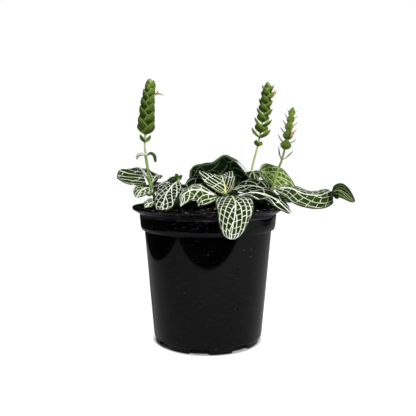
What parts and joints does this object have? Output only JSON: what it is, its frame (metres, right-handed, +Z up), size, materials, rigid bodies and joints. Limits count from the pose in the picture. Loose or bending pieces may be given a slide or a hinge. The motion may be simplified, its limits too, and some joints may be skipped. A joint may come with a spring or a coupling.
{
  "type": "potted nerve plant",
  "caption": "Nerve plant with net-veined leaves and upright green flower spikes, growing in a tapered black nursery pot with a flared lip and a stepped collar.",
  "frame": {"origin": "on the surface the pot stands on, under the middle of the whole plant's bounding box; the pot's axis is to the left of it", "axes": "+Z up along the pot's axis, -Y towards the front of the plant, +X to its right, where the longest leaf reaches out"},
  "size_m": [0.1684, 0.1232, 0.188],
  "materials": {
    "pot_plastic": "black nursery plastic, glossy on the collar and satin below",
    "soil": "dark moist peat with bark and perlite bits",
    "leaf": "dark green leaf with a net of white veins",
    "bract": "mid green bracts on a pale green stalk, softly hairy",
    "dried_flower": "dried tan petals"
  },
  "bodies": {
    "root": {"pot": "pot_plastic", "soil": "soil", "left_shoot": "leaf", "rim_shoot": "leaf", "inner_shoot": "leaf", "centre_shoot": "leaf", "back_shoot": "leaf", "right_shoot": "leaf", "rear_left_shoot": "leaf", "rear_right_shoot": "leaf", "left_flower_spike": "bract", "left_dried_flower": "dried_flower", "middle_flower_spike": "bract", "middle_dried_flower": "dried_flower", "right_flower_spike": "bract", "right_dried_flower": "dried_flower"}
  },
  "joints": []
}
